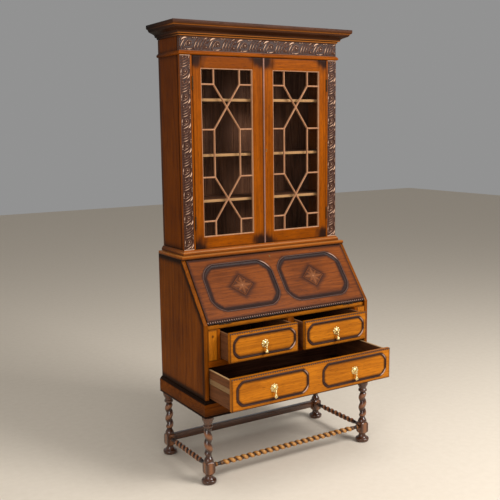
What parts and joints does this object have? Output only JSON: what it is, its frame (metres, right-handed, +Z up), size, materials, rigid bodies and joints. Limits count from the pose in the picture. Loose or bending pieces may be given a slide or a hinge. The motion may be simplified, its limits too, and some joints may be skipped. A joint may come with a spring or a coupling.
{
  "type": "secretary desk",
  "caption": "Bureau bookcase: glazed two-door bookcase over a sloping-fall writing desk with drawers, on a stand of twisted legs with stretchers.",
  "frame": {"origin": "on the floor under the middle of the whole object's box, with the drawers a little open as stored", "axes": "+Z up, +X to the viewer's right, -Y out of the front, where the doors, fall and drawers open"},
  "size_m": [0.9714, 0.66, 2.041],
  "materials": {
    "oak_honey": "waxed golden oak",
    "oak_dark": "dark stained carved and turned oak",
    "oak_inner": "plain oxidised interior oak",
    "oak_red": "red-brown polished oak",
    "brass": "cast and aged",
    "glass": "clear pane"
  },
  "bodies": {
    "carcase": {"leg_front_left": "oak_dark", "leg_front_right": "oak_dark", "leg_back_left": "oak_dark", "leg_back_right": "oak_dark", "stretcher_front": "oak_dark", "stretcher_back": "oak_dark", "stretcher_left": "oak_dark", "stretcher_right": "oak_dark", "pilaster_left": "oak_dark", "pilaster_right": "oak_dark", "frieze": "oak_dark", "base_frame": "oak_honey", "bureau_side_left": "oak_honey", "bureau_side_right": "oak_honey", "bureau_top": "oak_honey", "drawer_rail": "oak_honey", "drawer_muntin": "oak_honey", "loper_partition_left": "oak_honey", "loper_partition_right": "oak_honey", "writing_bed": "oak_honey", "bookcase_floor": "oak_honey", "bookcase_side_left": "oak_honey", "bookcase_side_right": "oak_honey", "cornice": "oak_honey", "neck_moulding": "oak_honey", "bureau_back": "oak_inner", "bureau_bottom": "oak_inner", "pigeonhole_unit": "oak_inner", "bookcase_back": "oak_inner", "bookcase_top": "oak_inner", "shelf_lower": "oak_inner", "shelf_middle": "oak_inner", "shelf_upper": "oak_inner", "fall_hinge_left": "brass", "fall_hinge_right": "brass", "door_hinge_left_lower": "brass", "door_hinge_left_upper": "brass", "door_hinge_right_lower": "brass", "door_hinge_right_upper": "brass"},
    "left_door": {"door_frame_left": "oak_honey", "door_glass_left": "glass"},
    "right_door": {"door_frame_right": "oak_honey", "door_glass_right": "glass"},
    "fall": {"fall_flap": "oak_red"},
    "left_loper": {"loper_left": "oak_honey"},
    "right_loper": {"loper_right": "oak_honey"},
    "left_drawer": {"drawer_left_front": "oak_honey", "drawer_left_box": "oak_inner", "handle_plate_drawer_left": "brass"},
    "right_drawer": {"drawer_right_front": "oak_honey", "drawer_right_box": "oak_inner", "handle_plate_drawer_right": "brass"},
    "long_drawer": {"drawer_long_front": "oak_honey", "drawer_long_box": "oak_inner", "handle_plate_drawer_long_left": "brass", "handle_plate_drawer_long_right": "brass"},
    "left_drawer_drop": {"handle_drop_drawer_left": "brass"},
    "right_drawer_drop": {"handle_drop_drawer_right": "brass"},
    "long_drawer_left_drop": {"handle_drop_drawer_long_left": "brass"},
    "long_drawer_right_drop": {"handle_drop_drawer_long_right": "brass"}
  },
  "joints": [
    {"name": "left_door_swing", "type": "hinge", "parent": "carcase", "child": "left_door", "pos_m": [-0.37, 0.1066, 1.463], "axis": [0, 0, -1], "range_deg": [0, 110]},
    {"name": "right_door_swing", "type": "hinge", "parent": "carcase", "child": "right_door", "pos_m": [0.37, 0.1066, 1.463], "axis": [0, 0, 1], "range_deg": [0, 110]},
    {"name": "fall_tilt", "type": "hinge", "parent": "carcase", "child": "fall", "pos_m": [0, -0.1028, 0.722], "axis": [1, 0, 0], "range_deg": [0, 127.8]},
    {"name": "left_loper_slide", "type": "slide", "parent": "carcase", "child": "left_loper", "axis": [0, -1, 0], "range_m": [0, 0.26]},
    {"name": "right_loper_slide", "type": "slide", "parent": "carcase", "child": "right_loper", "axis": [0, -1, 0], "range_m": [0, 0.26]},
    {"name": "left_drawer_slide", "type": "slide", "parent": "carcase", "child": "left_drawer", "axis": [0, -1, 0], "range_m": [-0.085, 0.215]},
    {"name": "right_drawer_slide", "type": "slide", "parent": "carcase", "child": "right_drawer", "axis": [0, -1, 0], "range_m": [-0.089, 0.211]},
    {"name": "long_drawer_slide", "type": "slide", "parent": "carcase", "child": "long_drawer", "axis": [0, -1, 0], "range_m": [-0.195, 0.13]},
    {"name": "left_drawer_drop_swing", "type": "hinge", "parent": "left_drawer", "child": "left_drawer_drop", "pos_m": [-0.1975, -0.2115, 0.63125], "axis": [-1, 0, 0], "range_deg": [0, 80]},
    {"name": "right_drawer_drop_swing", "type": "hinge", "parent": "right_drawer", "child": "right_drawer_drop", "pos_m": [0.1975, -0.2155, 0.63125], "axis": [-1, 0, 0], "range_deg": [0, 80]},
    {"name": "long_drawer_left_drop_swing", "type": "hinge", "parent": "long_drawer", "child": "long_drawer_left_drop", "pos_m": [-0.223, -0.3215, 0.46125], "axis": [-1, 0, 0], "range_deg": [0, 80]},
    {"name": "long_drawer_right_drop_swing", "type": "hinge", "parent": "long_drawer", "child": "long_drawer_right_drop", "pos_m": [0.223, -0.3215, 0.46125], "axis": [-1, 0, 0], "range_deg": [0, 80]}
  ]
}
